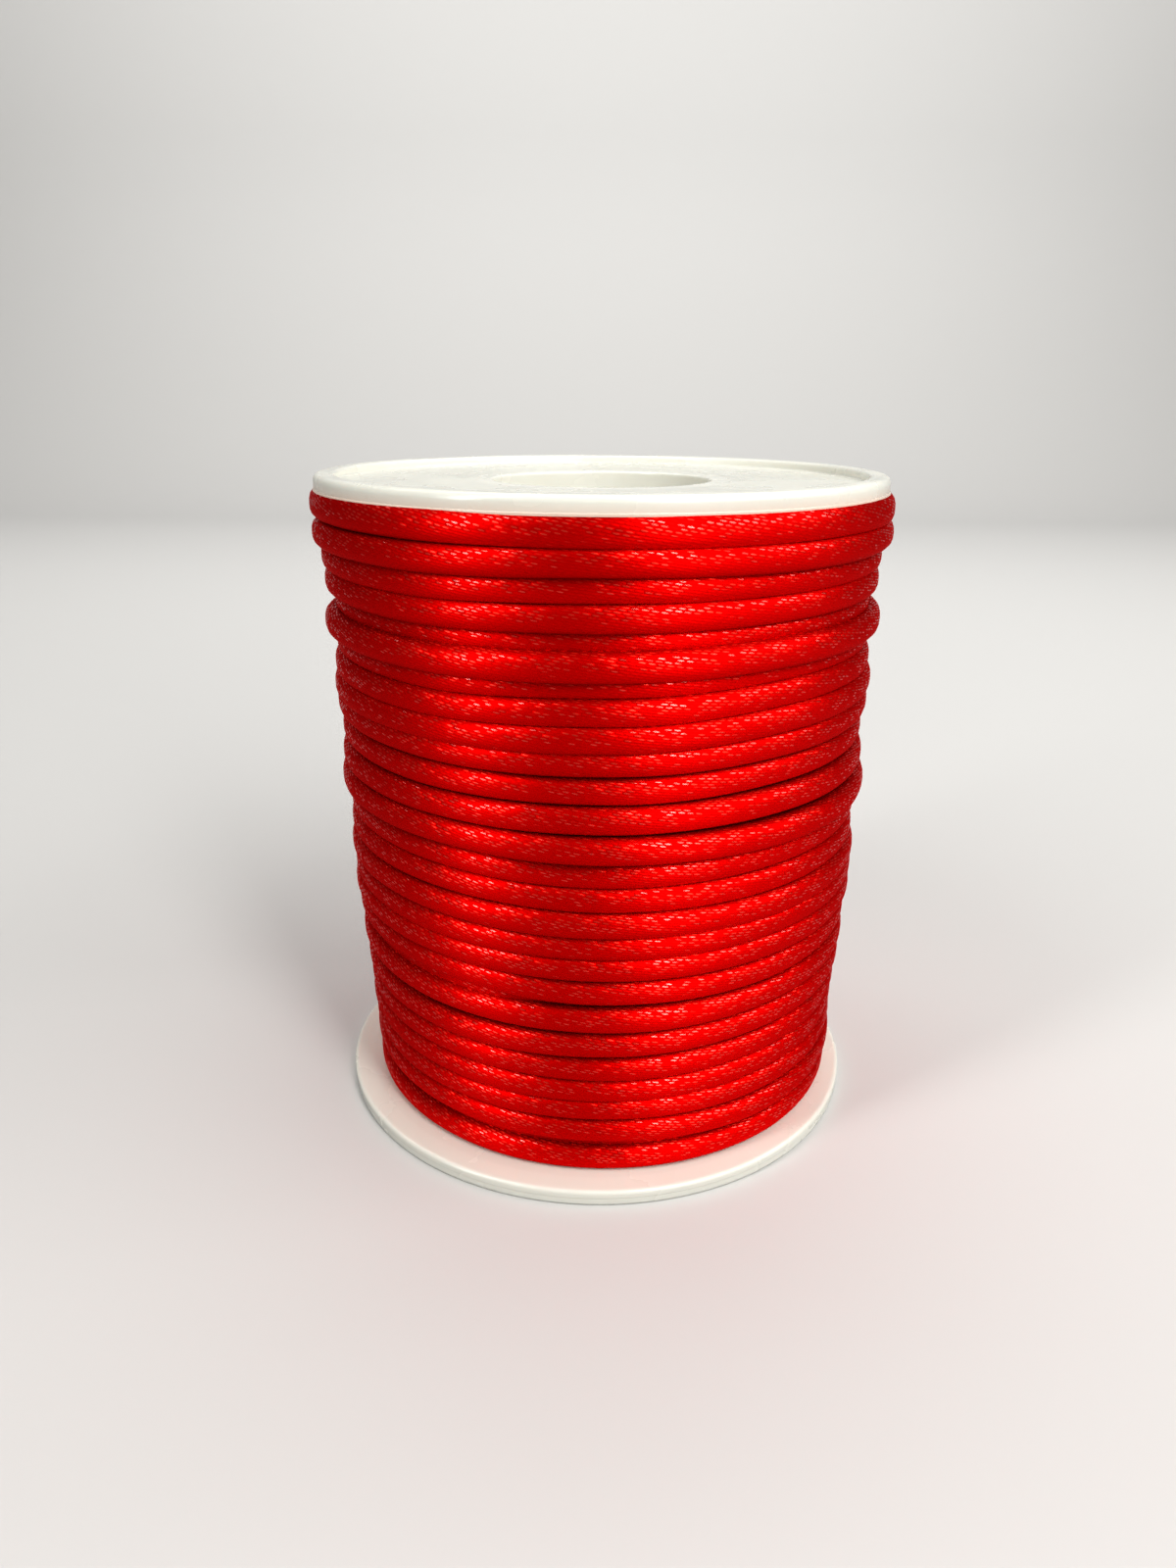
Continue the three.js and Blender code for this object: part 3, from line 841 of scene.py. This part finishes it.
# Soft panels: azimuth and elevation in degrees as seen from the spool, distance and size in
# metres, power in watts, and what a panel is aimed at where that isn't the spool's middle
lamps = {
    "leftPanel": {"azimuth": -143, "elevation": 35, "distance": 0.36, "size": (0.06, 0.38), "power": 0.62},
    "frontPanel": {"azimuth": -61, "elevation": 38, "distance": 0.36, "size": (0.07, 0.36), "power": 0.8},
    "rightPanel": {"azimuth": -22, "elevation": 36, "distance": 0.4, "size": (0.42, 0.2), "power": 0.95},
    "topPanel": {"azimuth": 90, "elevation": 68, "distance": 0.45, "size": (0.3, 0.3), "power": 0.25},
    "wallPanel": {
        "azimuth": 90,
        "elevation": 64.7,
        "distance": 0.468,
        "size": (0.9, 0.2),
        "power": 3.1,
        "aim": (0, 0.65, 0.1),
    },
}


def makeLamp(name, lamp):
    data = bpy.data.lights.new(name, "AREA")
    data.shape = "RECTANGLE"
    data.size = lamp["size"][0]
    data.size_y = lamp["size"][1]
    data.energy = lamp["power"]
    holder = bpy.data.objects.new(name, data)
    bpy.context.scene.collection.objects.link(holder)
    turn = math.radians(lamp["azimuth"])
    rise = math.radians(lamp["elevation"])
    middle = Vector((0, 0, spool["height"] * mm / 2))
    away = Vector((math.cos(turn) * math.cos(rise), math.sin(turn) * math.cos(rise), math.sin(rise)))
    holder.location = middle + away * lamp["distance"]
    aim = Vector(lamp.get("aim", middle))
    holder.rotation_euler = (holder.location - aim).to_track_quat("Z", "Y").to_euler()


for lampName, lamp in lamps.items():
    makeLamp(lampName, lamp)

world = bpy.data.worlds.new("softRoom")
bpy.context.scene.world = world
world.use_nodes = True
room = world.node_tree.nodes["Background"]
room.inputs["Color"].default_value = (*studio["world"], 1.0)
# The room looks as pale as the wall beyond the floor's edges, but lights the spool only a little
straightOn = addNode(world.node_tree, "ShaderNodeLightPath", (-600, 0))
dim = studio["worldStrength"]
extra = studio["worldSeen"] - dim
isSeen = straightOn.outputs["Is Camera Ray"]
shown = mathNode(world.node_tree, "MULTIPLY_ADD", (-300, 0), isSeen, extra, dim)
world.node_tree.links.new(shown, room.inputs["Strength"])
bpy.context.scene.view_settings.view_transform = "Standard"
bpy.context.scene.view_settings.look = "Medium High Contrast"
print("stage 6: floor and lamps stand")

# Camera as it stood: close to the spool and looking down on it
cameraPlace = {
    "distance": 0.09231,
    "height": 0.05907,
    "turn": math.radians(-0.567),
    "down": math.radians(19.49),
    "roll": math.radians(0.315),
    "focalPixels": 1137.3,
    "frameHeight": 1600,
    "sensor": 36.0,
}


def makeCamera():
    data = bpy.data.cameras.new("photoCamera")
    data.sensor_fit = "AUTO"
    data.sensor_width = cameraPlace["sensor"]
    data.lens = cameraPlace["sensor"] * cameraPlace["focalPixels"] / cameraPlace["frameHeight"]
    data.clip_start = 0.005
    camera = bpy.data.objects.new("photoCamera", data)
    bpy.context.scene.collection.objects.link(camera)
    turn = cameraPlace["turn"]
    down = cameraPlace["down"]
    roll = cameraPlace["roll"]
    ahead = Vector((math.sin(turn) * math.cos(down), math.cos(turn) * math.cos(down), -math.sin(down)))
    right = ahead.cross(Vector((0, 0, 1))).normalized()
    up = right.cross(ahead)
    rolledRight = right * math.cos(roll) + up * math.sin(roll)
    rolledUp = up * math.cos(roll) - right * math.sin(roll)
    axes = Matrix((rolledRight, rolledUp, -ahead)).transposed().to_4x4()
    camera.matrix_world = Matrix.Translation((0, -cameraPlace["distance"], cameraPlace["height"])) @ axes
    bpy.context.scene.camera = camera


makeCamera()
print("stage 7: the camera is set")
